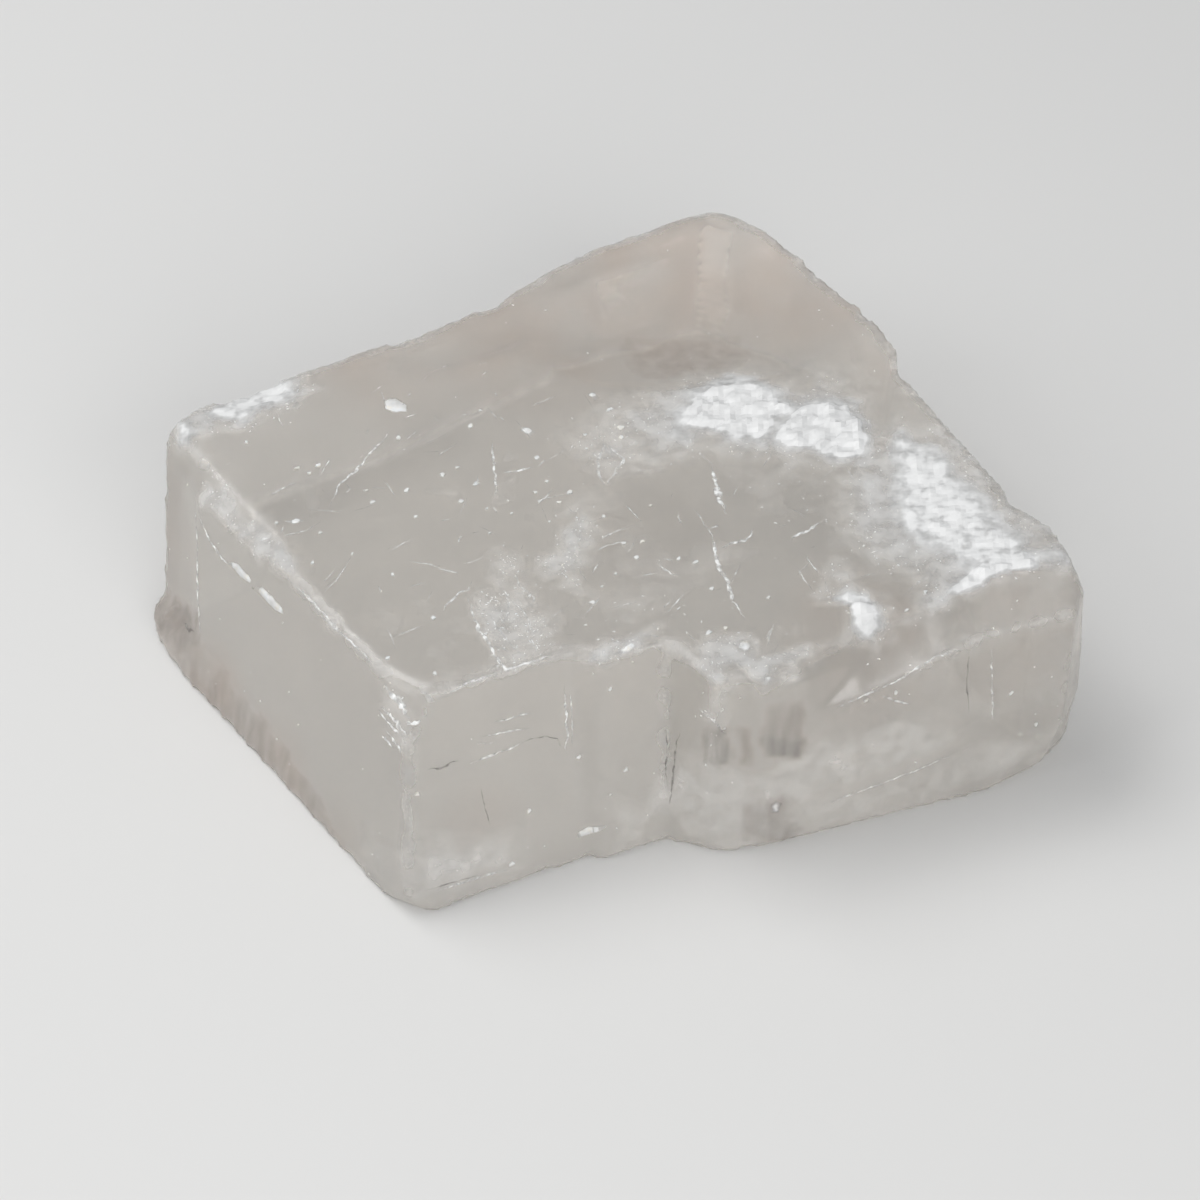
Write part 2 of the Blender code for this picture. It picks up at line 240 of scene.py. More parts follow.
# Bright cracks and cleavage lines: how wide they are drawn in mm, and their path.
CRACKS = {
    "back jag": (0.5, ("back", "735,520 755,560 770,640 785,700 820,760")),
    "long jag": (0.32, ("back", "700,800 740,850 760,920 770,980 790,1040 830,1100 845,1180 "
        "870,1220 910,1270")),
    "branch of the jag": (0.25, ("back", "730,825 780,815")),
    "branch 2": (0.3, ("back", "790,925 840,900 910,890 950,830")),
    "branch 3": (0.4, ("back", "1130,890 1180,850 1280,800")),
    "end of the jag": (0.35, ("back", "830,1180 850,1200 880,1215")),
    "stray line 1": (0.28, ("middle", "345,230 355,320 365,440 375,490 355,550")),
    "stray line 2": (0.22, ("middle", "400,410 480,400 580,380")),
    "stray line 3": (0.16, ("middle", "65,950 120,960 170,970")),
    "stray line 4": (0.14, ("middle", "930,850 1000,815 1060,795 1110,800")),
    "stray line 5": (0.14, ("middle", "950,780 1050,735 1120,710")),
    "stray line 6": (0.14, ("middle", "1100,590 1150,645 1190,690")),
    "stray line 7": (0.16, ("middle", "1395,630 1405,680 1420,710")),
    "stray line 8": (0.22, ("middle", "1270,910 1310,950 1350,970 1400,985")),
    "stray line 9": (0.16, ("middle", "1305,890 1365,897")),
    "stray line 10": (0.16, ("middle", "1190,985 1270,970")),
    "stray line 11": (0.18, ("middle", "60,1200 100,1140 160,1080 220,1070 240,1010")),
    "frosted patch, border": (0.26, ("middle", "210,1080 235,1190 280,1300 320,1350 370,1440 "
        "420,1510 480,1495 560,1465 640,1440 740,1405")),
    "frosted patch, line 1": (0.16, ("middle", "290,1170 340,1210 380,1280 430,1340 480,1400 "
        "540,1440")),
    "frosted patch, line 2": (0.14, ("middle", "430,1080 460,1130 520,1180 560,1250 540,1340")),
    "frosted patch, line 3": (0.14, ("middle", "380,1010 430,1080 440,1160 410,1240 440,1310")),
    "frosted patch, line 4": (0.14, ("middle", "480,960 500,1040 580,1110 560,1180")),
    "frosted patch, line 5": (0.12, ("middle", "600,1290 560,1330 600,1400 560,1450")),
    "frosted patch, line 6": (0.12, ("middle", "330,1380 400,1390 460,1420 480,1490")),
    "diamond, left side": (0.22, ("middle", "980,235 935,350 945,420 990,485")),
    "diamond, right side": (0.22, ("middle", "990,485 1040,400 1085,335 1030,285 980,235")),
    "left line 1": (0.26, ("left", "1110,260 1040,340 960,420 910,490 830,540 800,620 780,660")),
    "left line 2": (0.16, ("left", "620,530 560,555 500,585 450,610")),
    "left line 3": (0.14, ("left", "520,820 600,800 680,785 735,735")),
    "left line 4": (0.14, ("left", "1180,935 1240,955 1300,965 1360,990 1460,1010")),
    "left line 5": (0.12, ("left", "740,1120 820,1050 900,920")),
    "left rim": (0.22, ("left", "540,1015 600,1080 680,1150 780,1250 860,1330")),
    "rib of the strip": (0.25, ("left", "400,852 440,835 480,828")),
    "left rim, front end": (0.18, ("whole", "312,607 345,637 377,666")),
    "curve on the left face": (0.3, ("whole", "199,515 209,538 222,559 232,566")),
    "upright on the left face": (0.24, ("whole", "197,490 197,540 198,600 198,650")),
    "front line 1": (0.2, ("front", "490,760 560,735 620,708 680,690 720,665 760,650")),
    "front line 2": (0.15, ("front", "590,570 680,550 740,530 810,515")),
    "front line 3": (0.15, ("front", "550,635 620,615 710,605 800,590")),
    "front line 4": (0.1, ("front", "520,665 600,655 640,660")),
    "hatching 1": (0.4, ("front", "110,390 150,450 200,500 240,560")),
    "hatching 2": (0.36, ("front", "150,440 190,460 215,490")),
    "hatching 3": (0.36, ("front", "90,480 140,530 190,590 230,640")),
    "hatching 4": (0.3, ("front", "75,490 120,550 180,620 215,660")),
    "hatching 5": (0.36, ("front", "100,620 140,670 155,685")),
    "hatching 6": (0.28, ("front", "110,590 160,650 200,720")),
    "hatching 7": (0.3, ("front", "200,560 240,570 285,555")),
    "upright on the front": (0.2, ("front", "940,380 950,500 955,640 940,720")),
    "thin upright on the front": (0.12, ("front", "970,400 980,560 975,700")),
    "foot line": (0.16, ("front", "330,1350 450,1310 560,1280 720,1225")),
    "front rim": (0.14, ("front", "360,440 400,430 440,415 520,370 680,325")),
    "notch line": (0.26, ("right", "190,565 230,600 260,630 295,665")),
    "shoulder line": (0.18, ("whole", "822,715 860,697 898,681 936,657 960,648")),
    "line of bits": (0.16, ("right", "810,530 870,545 935,568")),
    "undercut edge": (0.14, ("whole", "798,816 845,797 892,780 940,760 985,742")),
    "upright on the right face": (0.16, ("whole", "992,640 991,680 993,730")),
    "line by the rim patch": (0.14, ("right", "560,50 585,85 610,120")),
}

# Dark seams, given the same way. The lines in the step's inner corner and along the foot are
# painted shade.
SEAMS_AND_SHADE_LINES = {
    "dark crack": (0.22, ("front", "310,785 370,770 420,752 460,740")),
    # painted shade in the step's inner corner
    "step corner shade, short": (0.16, ("front", "1410,570 1415,680 1412,800 1425,860")),
    # painted shade in the step's inner corner
    "step corner shade, long": (0.2, ("front", "1485,595 1460,650 1450,760 1435,860 1430,960")),
    "curved seam": (0.12, ("front", "730,665 780,645 860,628 910,640 925,690")),
    "upright seam": (0.1, ("front", "550,850 565,930 590,1020 620,1060")),
    "nick": (0.3, ("left", "372,1062 380,1080 392,1100")),
    "knob seam": (0.4, ("whole", "184,622 189,628 195,632")),
    # painted shade along the foot
    "shade line along the foot": (0.12, ("front", "290,1345 430,1300 560,1262")),
    "seam on the right face": (0.12, ("whole", "968,640 966,680 970,715")),
}

# Single bright specks: how large, and where they lie.
SPECKS = {
    "three large ones": (1, ("middle", "785,520 20,1220 1070,155")),
    "middle sized ones in the middle": (0.7, ("middle", "70,420 150,375 260,470 180,570 600,320 "
        "660,455 585,520 610,570 725,575 975,655 1010,50 1065,205 910,1135 1150,880 1085,800 "
        "1185,790 225,150 280,60")),
    "small ones in the middle": (0.5, ("middle", "460,635 670,680 870,195 320,610 330,745 "
        "960,1045 1040,970 310,1310 560,1100 1240,590")),
    "ones at the left": (0.7, ("left", "350,325 1140,305 720,445 610,460 675,490 970,575 1190,575 "
        "1010,640 1235,715 1470,635 1375,495 1545,540 1520,240 500,748 690,960 1110,1020 900,910 "
        "730,800")),
    "ones at the back": (0.8, ("back", "240,245 300,335 300,380 45,650 810,1315 725,1335 895,1395 "
        "740,1120 160,1190 370,970 660,990 580,975")),
    "ones at the right": (0.7, ("right", "290,300 970,180 910,240 775,545 870,520 1350,630 "
        "1265,520 440,200")),
    "ones on the front": (0.7, ("front", "700,1215 780,965 1010,720 1225,785 1150,410 265,895 "
        "130,270 335,85 345,340")),
}


# ---------------------------------------------------------------- settings


class CalciteSkin(bpy.types.PropertyGroup):
    """Sizes of the crystal's outer skin."""

    grain: bpy.props.FloatProperty(
        name="Skin grain", description="Side of the skin's faces", default=0.37 * MM,
        min=0.25 * MM, max=1.0 * MM, unit="LENGTH", precision=5)
    worn: bpy.props.FloatProperty(
        name="Edge wear", description="How deep the edges are chipped and rubbed",
        default=0.12 * MM, min=0.0, max=0.5 * MM, unit="LENGTH", precision=5)


class CalciteLook(bpy.types.PropertyGroup):
    """Colours and clearness of the calcite."""

    clear: bpy.props.FloatVectorProperty(
        name="Clear calcite", description="Tint of the clear body",
        default=(0.99, 0.962, 0.92), min=0.0, max=1.0, subtype="COLOR")
    stained: bpy.props.FloatVectorProperty(
        name="Stained calcite", description="Tint where iron has stained it",
        default=(0.96, 0.85, 0.77), min=0.0, max=1.0, subtype="COLOR")
    depth_tint: bpy.props.FloatVectorProperty(
        name="Depth tint", description="Colour left after a long way through the crystal",
        default=(0.80, 0.765, 0.71), min=0.0, max=1.0, subtype="COLOR")
    density: bpy.props.FloatProperty(
        name="Absorption", description="How fast the depth tint builds up, per metre",
        default=18.0, min=0.0, max=200.0)
    transmission: bpy.props.FloatProperty(
        name="Transmission", description="Share of the light that goes into the crystal",
        default=0.78, min=0.0, max=1.0, subtype="FACTOR")
    ior: bpy.props.FloatProperty(
        name="Refraction", description="Mean refractive index of calcite",
        default=1.6, min=1.0, max=2.5)


class CalciteFlecks(bpy.types.PropertyGroup):
    """The fine flecks of the milky patches."""

    density: bpy.props.FloatProperty(
        name="Density", description="Flecks in a square millimetre where a patch is full",
        default=30.0, min=0.0, max=200.0)
    smallest: bpy.props.FloatProperty(
        name="Smallest", description="Half the width of the smallest flecks",
        default=0.02 * MM, min=0.01 * MM, max=0.3 * MM, unit="LENGTH", precision=5)
    largest: bpy.props.FloatProperty(
        name="Largest", description="Half the width of the largest flecks",
        default=0.08 * MM, min=0.02 * MM, max=0.5 * MM, unit="LENGTH", precision=5)
    spread: bpy.props.FloatProperty(
        name="Spread", description="How far the flecks lie under one another",
        default=0.01 * MM, min=0.0, max=2.0 * MM, unit="LENGTH", precision=5)
    loose: bpy.props.FloatProperty(
        name="Loose flecks", description="Flecks in a square millimetre everywhere",
        default=0.03, min=0.0, max=5.0)
    seed: bpy.props.IntProperty(
        name="Seed", description="Draw of the flecks' places", default=7, min=0)


# ---------------------------------------------------------------- mesh helpers


def object_from(name, mesh):
    item = bpy.data.objects.new(name, mesh)
    bpy.context.scene.collection.objects.link(item)
    return item


def settled(item):
    """The object's mesh with its modifiers worked in."""
    graph = bpy.context.evaluated_depsgraph_get()
    mesh = bpy.data.meshes.new_from_object(item.evaluated_get(graph))
    item.modifiers.clear()
    return mesh


def read_points(mesh):
    points = np.empty(len(mesh.vertices) * 3, np.float32)
    mesh.vertices.foreach_get("co", points)
    return points.reshape(-1, 3).astype(float)


def read_normals(mesh):
    normals = np.empty(len(mesh.vertices) * 3, np.float32)
    mesh.vertices.foreach_get("normal", normals)
    return normals.reshape(-1, 3).astype(float)


def write_points(mesh, points):
    mesh.vertices.foreach_set("co", points.astype(np.float32).ravel())
    mesh.update()


def write_attribute(mesh, name, values):
    layer = mesh.attributes.get(name) or mesh.attributes.new(name, "FLOAT", "POINT")
    layer.data.foreach_set("value", np.clip(values, 0, 1).astype(np.float32))


def read_attribute(mesh, name):
    values = np.empty(len(mesh.vertices), np.float32)
    mesh.attributes[name].data.foreach_get("value", values)
    return values.astype(float)


def neighbours(mesh):
    ends = np.empty(len(mesh.edges) * 2, np.int32)
    mesh.edges.foreach_get("vertices", ends)
    ends = ends.reshape(-1, 2)
    count = np.bincount(ends.ravel(), minlength=len(mesh.vertices)).clip(1)
    return ends, count


def spread(values, ends, count, rounds):
    """Averages a value per vertex with its neighbours', round after round."""
    values = np.array(values, float)
    columns = values.reshape(len(values), -1)
    for _ in range(rounds):
        total = np.zeros_like(columns)
        for k in range(columns.shape[1]):
            total[:, k] += np.bincount(ends[:, 0], columns[ends[:, 1], k], len(columns))
            total[:, k] += np.bincount(ends[:, 1], columns[ends[:, 0], k], len(columns))
        columns = 0.5 * columns + 0.5 * total / count[:, None]
    return columns.reshape(values.shape)


def grain_noise(points, size, seed, octaves=2):
    """Smooth noise from -1 to 1 at each point, with features of this size in mm."""
    shift = Vector((seed * 17.3, seed * -9.1, seed * 5.7))
    return np.array([
        noise.fractal(Vector(p) / size + shift, 1.0, 2.0, octaves,
                      noise_basis="PERLIN_ORIGINAL") for p in points])


# ---------------------------------------------------------------- crystal skin

HAZE_TINT = (0.70, 0.69, 0.68)  # where the calcite is a little cloudy
MOST_HAZE = 0.16  # how far the cloudiest places lean to it
WORN_TINT = (1.0, 1.0, 1.0)  # where an edge is rubbed
# the broad darker places are partly painted shade
DIM_TINT = (0.50, 0.46, 0.43)  # what the broad darker places lean to
UPRIGHT_LINES = (1, 1, 0.06)  # draws a noise out into the fine upright lines
EVEN_MATT = 0.12  # how matt the smoothest places are
BACKWARD = np.array((0.25, 0.97, 0.0))  # towards the broken back sides
# Patches stained by iron: centre and reach in mm, and how strong.
STAINS = (
    ((-6, 13, 15), 10, 0.8), ((4, 20, 14), 11, 1.0), ((14, 20, 13), 10, 0.9),
    ((-15, 10, 15), 8, 0.55), ((22, 12, 14), 7, 0.4), ((-31, 0, 8), 7, 0.75),
    ((-31, -3, 3), 5, 1.0), ((-27, -9, 1), 5.5, 1.0), ((-22, -15, 1), 5, 0.8),
    ((-17, -21, 1), 4, 0.4), ((-9, -22, 5), 4, 0.5), ((16, -16, 14), 6, 0.6),
    ((26, -13, 12), 6, 0.4),
)


def skin_from_solid(grain):
    """A fine even mesh laid on the solid's faces, in millimetres."""
    shape = bmesh.new()
    shape.from_mesh(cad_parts[NODE].data)
    bmesh.ops.transform(shape, matrix=Matrix.Scale(1 / MM, 4), verts=shape.verts)
    bmesh.ops.remove_doubles(shape, verts=shape.verts, dist=0.001)
    solid_mesh = bpy.data.meshes.new("solid")
    shape.to_mesh(solid_mesh)
    shape.free()
    solid = object_from("solid", solid_mesh)
    skin = object_from("skin", solid_mesh.copy())
    remesh = skin.modifiers.new("even faces", "REMESH")
    remesh.mode = "VOXEL"
    remesh.voxel_size = grain / MM
    wrap = skin.modifiers.new("onto the solid", "SHRINKWRAP")
    wrap.target = solid
    wrap.wrap_method = "NEAREST_SURFACEPOINT"
    mesh = settled(skin)
    bpy.data.objects.remove(skin)
    bpy.data.objects.remove(solid)
    return mesh


def work_the_skin(mesh, settings):
    """Rubs and chips the edges, and marks where the skin is worn, frosted and stained."""
    ends, count = neighbours(mesh)
    points = spread(read_points(mesh), ends, count, 2)
    write_points(mesh, points)
    normals = read_normals(mesh)
    turned = spread(normals, ends, count, 3)
    edge = np.clip((1 - np.linalg.norm(turned, axis=1)) * 13, 0, 1)
    chips = grain_noise(points, 1.1, 1, 3)
    rub = edge * (0.35 + 0.65 * np.clip(chips * 2 + 0.4, 0, 1))
    points -= normals * (settings.worn / MM * rub)[:, None]
    points[:, 2] = np.maximum(points[:, 2], 0.0)
    write_points(mesh, points)
    above = np.clip(points[:, 2] / 4, 0.15, 1)
    write_attribute(mesh, "wear", above * spread(rub, ends, count, 1))
    write_attribute(mesh, "frost", spread(frost_of(points, turned), ends, count, 6))
    write_attribute(mesh, "stain", stain_of(points))


def frost_of(points, turned):
    """How matt the broken faces are: the resting face and the two back sides."""
    facing_down = turned[:, 2] < -0.7
    facing_back = (np.abs(turned[:, 2]) < 0.75) & (turned @ BACKWARD > 0.2)
    return np.where(facing_down, 0.8, 0.0) + np.where(facing_back, 0.75, 0.0)


def stain_of(points):
    """How stained each point is, from soft round patches broken up by noise."""
    stain = np.zeros(len(points))
    for centre, reach, strength in STAINS:
        far = np.linalg.norm(points - np.array(centre), axis=1) / reach
        stain = np.maximum(stain, strength * np.clip(1.4 - 1.4 * far, 0, 1))
    return stain * (0.85 + 0.5 * grain_noise(points, 4.0, 3, 2))


def add_node(tree, kind, inputs, **settings):
    """A node with its settings, and its inputs given as values or as other nodes' outputs."""
    node = tree.nodes.new(kind)
    for name, value in settings.items():
        setattr(node, name, value)
    for key, given in inputs.items():
        if isinstance(given, bpy.types.NodeSocket):
            tree.links.new(given, node.inputs[key])
        else:
            node.inputs[key].default_value = given
    return node


def new_material(name, inputs):
    """A material with its node tree, and its shader with these values."""
    material = bpy.data.materials.new(name)
    material.use_nodes = True
    shader = material.node_tree.nodes["Principled BSDF"]
    for key, value in inputs.items():
        shader.inputs[key].default_value = value
    return material, material.node_tree, shader


def own_place(tree):
    return tree.nodes.new("ShaderNodeTexCoord").outputs["Object"]


def add_attribute(tree, name):
    return add_node(tree, "ShaderNodeAttribute", {}, attribute_name=name).outputs["Fac"]


def add_math(tree, operation, first, second, third=0.0, clamp=False):
    return add_node(tree, "ShaderNodeMath", {0: first, 1: second, 2: third},
                    operation=operation, use_clamp=clamp).outputs[0]


def add_sum(tree, parts, start):
    """The start plus each part times its share."""
    total = start
    for socket, share in parts:
        total = add_math(tree, "MULTIPLY_ADD", socket, share, total)
    return total


def add_mix(tree, factor, first, second, blend="MIX"):
    node = add_node(tree, "ShaderNodeMix", {"Factor": factor, "A": first, "B": second},
                    data_type="RGBA", blend_type=blend)
    return node.outputs["Result"]


def add_noise(tree, place, scale, detail, stretch=None):
    """A noise texture on the piece's own coordinates; the scale is per metre."""
    if stretch is not None:
        place = add_node(tree, "ShaderNodeMapping",
                         {"Vector": place, "Scale": stretch}).outputs["Vector"]
    return add_node(tree, "ShaderNodeTexNoise",
                    {"Vector": place, "Scale": scale, "Detail": detail}).outputs["Fac"]


def add_range(tree, value, given, wanted, clamp=True):
    """The value, moved from the given range to the wanted one."""
    return add_node(tree, "ShaderNodeMapRange",
                    {"Value": value, "From Min": given[0], "From Max": given[1],
                     "To Min": wanted[0], "To Max": wanted[1]}, clamp=clamp).outputs["Result"]


def add_bump(tree, shader, height, strength, depth):
    """Bump from a height socket; the depth is in millimetres."""
    bump = add_node(tree, "ShaderNodeBump",
                    {"Height": height, "Strength": strength, "Distance": depth * MM})
    tree.links.new(bump.outputs["Normal"], shader.inputs["Normal"])


def calcite_material(look):
    """Clear calcite: matt where worn or frosted, tinted where stained, darker with depth."""
    material, tree, shader = new_material(
        "calcite", {"IOR": look.ior, "Transmission Weight": look.transmission})
    wear, frost, stain, dim = (
        add_attribute(tree, name) for name in ("wear", "frost", "stain", "dim"))
    place = own_place(tree)
    upright = add_noise(tree, place, 900, 2, UPRIGHT_LINES)
    cloudy = add_noise(tree, place, 240, 3)
    rough = add_sum(tree, ((wear, 0.35), (frost, 0.4), (cloudy, 0.08), (upright, 0.06)), EVEN_MATT)
    tree.links.new(rough, shader.inputs["Roughness"])
    haze = add_range(tree, cloudy, (0.35, 0.65), (0, MOST_HAZE))
    colour = add_mix(tree, stain, (*look.clear, 1), (*look.stained, 1))
    # the dim tint lays the broad darker places, partly painted shade
    for share, tint in ((haze, HAZE_TINT), (wear, WORN_TINT), (dim, DIM_TINT)):
        colour = add_mix(tree, share, colour, (*tint, 1))
    tree.links.new(colour, shader.inputs["Base Color"])
    add_bump(tree, shader, upright, 0.3, 0.03)
    depth = add_node(tree, "ShaderNodeVolumeAbsorption",
                     {"Color": (*look.depth_tint, 1), "Density": look.density})
    tree.links.new(depth.outputs["Volume"], tree.nodes["Material Output"].inputs["Volume"])
    return material


class CALCITE_OT_crystal(bpy.types.Operator):
    """Lay the worn skin on the solid"""

    bl_idname = "calcite.crystal"
    bl_label = "Crystal"

    def execute(self, context):
        mesh = skin_from_solid(context.scene.calcite_skin.grain)
        work_the_skin(mesh, context.scene.calcite_skin)
        mesh.transform(Matrix.Scale(MM, 4))
        mesh.materials.clear()
        mesh.materials.append(calcite_material(context.scene.calcite_look))
        for face in mesh.polygons:
            face.use_smooth = True
        mesh.name = "crystal"
        crystal = object_from("crystal", mesh)
        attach(crystal, "root")
        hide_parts(NODE)
        return {"FINISHED"}


# ---------------------------------------------------------------- inclusions

FAR = 100.0  # further than the crystal reaches, in mm
REACH = 2.0  # how far from its outline's plane a patch still lies on the skin, in mm
SHEET = 0.012  # how thick a veil is
CRUST = 0.45  # how high the densest white stands out, for a thickness of 1
CRUST_FROM = 0.10  # from this thickness on, milk is a crust
LEAST = 0.012  # thinner than this, a veil isn't made
FAINT = 0.015  # how much of the milk lies in the body and not in a veil
FULL = 3.0  # a thickness of 1 stands for this many times a full veil
SCRATCH_FAMILIES = (  # fine scratches on the top: heading in degrees, spread, how many
    (62, 16, 70), (118, 14, 50), (12, 20, 50), (85, 60, 40))
TOP = 15.0  # the height of the top face
TOP_FIELD = ((-26, -20), (26, 16))  # where the fine scratches start, in mm
SCRATCH_SEED = 11
LEAN = 0.25  # how far a fleck tips, in radians
SOLID_MIDDLE = np.array((600, 560))  # the middle of the solid in the view
MOST_STEPS = 14  # how often a spot beside the solid is moved towards it
STEP_SHARE = 0.004  # how far each time, as a share of the way
TINY = 1e-12  # a face this nearly along the sight is left out
EDGE_SPARE = 1e-6  # how far off a face still counts as on its edge
FLAKE_DEPTH = -0.05  # how deep under the skin a flake's middle lies, in mm
FLAKE_BORDER = 0.01  # how deep its border lies
NARROWER = 0.75  # cracks are built this much narrower than they are drawn
PROUD = 0.02  # how high a crack stands out of the skin
SPECK_RISE, SPECK_STEP = 0.045, 0.0005  # how high the first speck stands, and each after it
SPECK_ROOT = 0.08  # how deep a speck reaches
SPECK_SIDES = 6
VEIL_LIFT, DARK_LIFT, CRUST_LIFT = 0.020, 0.034, 0.050  # how high the sheets lie, in mm
FLECK_LIFT = 0.03  # how high the flecks start


class View:
    """The main view of the solid, to find the places behind what is drawn in it."""

    def __init__(self):
        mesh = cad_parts[NODE].data
        points = read_points(mesh) / MM
        faces = np.array([tuple(face.vertices) for face in mesh.polygons])
        self.corner, second, third = (points[faces[:, k]] for k in range(3))
        self.side, self.other_side = second - self.corner, third - self.corner
        rise = math.radians(CAMERA_RISE)
        self.ahead = np.array((0, math.cos(rise), -math.sin(rise)))
        self.up = np.array((0, math.sin(rise), math.cos(rise)))
        self.eye = np.array(CAMERA_AIM) - CAMERA_DISTANCE * self.ahead
        self.lens = CAMERA_LENS / CAMERA_SENSOR * VIEW_SIZE

    def places(self, window, drawn, grow=1.0):
        """The places behind a drawn outline or path, to a tenth of a millimetre."""
        left, top, times = WINDOWS[window]
        spots = np.array([[float(number) for number in spot.split(",")] for spot in drawn.split()])
        spots = (left, top) + spots / times
        middle = spots.mean(axis=0)
        return [Vector([round(float(n), 1) for n in self.behind(middle + grow * (spot - middle))])
                for spot in spots]

    def behind(self, spot):
        """The place behind a spot. A spot just off the solid is moved towards its middle."""
        for step in range(MOST_STEPS):
            place = self.hit(spot + (SOLID_MIDDLE - spot) * STEP_SHARE * step)
            if place is not None:
                return place
        raise ValueError(f"nothing of the solid is behind {spot}")

    def hit(self, spot):
        """The first place where the line of sight through a spot meets the solid."""
        across, down = spot - VIEW_SIZE / 2
        sight = self.lens * self.ahead + (across, 0, 0) - down * self.up
        sight /= np.linalg.norm(sight)
        turned = np.cross(sight, self.other_side)
        facing = (self.side * turned).sum(axis=1)
        facing[np.abs(facing) < TINY] = np.nan
        gap = self.eye - self.corner
        crossed = np.cross(gap, self.side)
        one = (gap * turned).sum(axis=1) / facing
        two = crossed @ sight / facing
        far = (self.other_side * crossed).sum(axis=1) / facing
        met = far[(one >= -EDGE_SPARE) & (two >= -EDGE_SPARE) & (one + two <= 1 + EDGE_SPARE)]
        return self.eye + sight * met.min() if len(met) else None


class Skin:
    """The finished skin, to place things under."""

    def __init__(self, mesh):
        shape = bmesh.new()
        shape.from_mesh(mesh)
        bmesh.ops.scale(shape, vec=(1 / MM,) * 3, verts=shape.verts)
        self.tree = BVHTree.FromBMesh(shape)
        shape.free()

    def under(self, place, depth):
        """The point this deep under the skin nearest a place, and the skin's normal there."""
        point, normal, _, _ = self.tree.find_nearest(place)
        return point - normal * depth, normal


class Cover:
    """The skin's points in mm, to work out what lies over them and to cut sheets from them."""

    def __init__(self, mesh):
        self.points = read_points(mesh) / MM
        self.normals = read_normals(mesh)
        self.faces = [tuple(face.vertices) for face in mesh.polygons]
        self.ends, self.count = neighbours(mesh)
        self.wear = read_attribute(mesh, "wear")
        self.stain = read_attribute(mesh, "stain")
        wide = [noise.noise_vector(Vector(p) / 1.7) for p in self.points]
        fine = [noise.noise_vector(Vector(p) / 0.6) for p in self.points]
        self.crinkle = np.clip(0.6 + 1.6 * grain_noise(self.points, 0.9, 12, 3), 0, 2)
        self.wander = 0.8 * np.array(wide) + 0.35 * np.array(fine)

    def over(self, outline, soft):
        """1 well inside an outline on the skin, 0 well outside it, with a border this soft."""
        corners = np.array(outline, float)
        middle = corners.mean(axis=0)
        axes = np.linalg.svd(corners - middle)[2]
        nearest = np.argmin(np.linalg.norm(self.points - middle, axis=1))
        out = axes[2] * np.sign(axes[2] @ self.normals[nearest])
        place = self.points - middle + self.wander * min(1.0, soft / 0.7)
        near = (np.abs(place @ out) < REACH) & (self.normals @ out > 0.35)
        flat, ring = place[near] @ axes[:2].T, (corners - middle) @ axes[:2].T
        gap, within = np.full(len(flat), FAR), np.zeros(len(flat), bool)
        for a, b in zip(ring, np.roll(ring, -1, axis=0)):
            along = np.clip((flat - a) @ (b - a) / max(1e-9, (b - a) @ (b - a)), 0, 1)
            gap = np.minimum(gap, np.linalg.norm(flat - a - along[:, None] * (b - a), axis=1))
            crossing = (a[1] > flat[:, 1]) != (b[1] > flat[:, 1])
            reach = a[0] + (flat[:, 1] - a[1]) * (b[0] - a[0]) / (b[1] - a[1] + 1e-12)
            within ^= crossing & (flat[:, 0] < reach)
        share = np.zeros(len(self.points))
        share[near] = np.clip(0.5 + np.where(within, gap, -gap) / (2 * soft), 0, 1)
        return share * share * (3 - 2 * share)

    def sheet(self, name, values, lift, material):
        """A thin closed sheet on the skin where the values are more than nothing."""
        faces = [face for face in self.faces if max(values[k] for k in face) > LEAST]
        kept = sorted({k for face in faces for k in face})
        order = {k: number for number, k in enumerate(kept)}
        points, normals = self.points[kept], self.normals[kept]
        crust = CRUST * np.clip(values[kept] - 0.1, 0, 0.5) * self.crinkle[kept]
        shape = bmesh.new()
        shape.verts.layers.float.new("thick")
        top, bottom = points + normals * (lift + crust[:, None]), points + normals * (lift - SHEET)
        add_slab(shape, top, bottom, [tuple(order[k] for k in face) for face in faces],
                 values[kept])
        finish_piece(name, shape, material)


class Patch:
    """A part of the skin laid flat, filled with triangles and lifted back under the skin."""

    def __init__(self, skin, outline, step, wander, seed):
        self.middle = sum(outline, Vector()) / len(outline)
        facing = sum((a.cross(b) for a, b in zip(outline, outline[1:] + outline[:1])), Vector())
        _, out = skin.under(self.middle, 0)
        normal = (facing if facing.dot(out) > 0 else -facing).normalized()
        self.side = normal.orthogonal().normalized()
        self.up = normal.cross(self.side)
        self.normal = normal
        self.skin = skin
        flat = [p - self.middle for p in outline]
        ring = jagged([Vector((p.dot(self.side), p.dot(self.up), 0)) for p in flat],
                      0.6 * step, wander, seed, closed=True)
        self.points, self.faces, self.gaps = filled([p.xy for p in ring], step)

    def lifted(self, depths):
        """Each point at its depth under the skin, with the skin's normals."""
        spots = [self.skin.under(self.middle + self.side * p.x + self.up * p.y, depth)
                 for p, depth in zip(self.points, depths)]
        return [p for p, _ in spots], [n for _, n in spots]


def jagged(path, step, wander, seed, closed):
    """The path cut into short steps that wander a little, as a broken edge does."""
    ends = list(zip(path, path[1:] + path[:1] if closed else path[1:]))
    points = []
    for a, b in ends:
        pieces = max(1, round((b - a).length / step))
        for k in range(pieces):
            spot = a.lerp(b, k / pieces)
            push = noise.noise_vector(spot * 2.3 + Vector((0, 0, seed * 3.1)))
            points.append(spot + wander * push)
    return points if closed else points + [path[-1]]


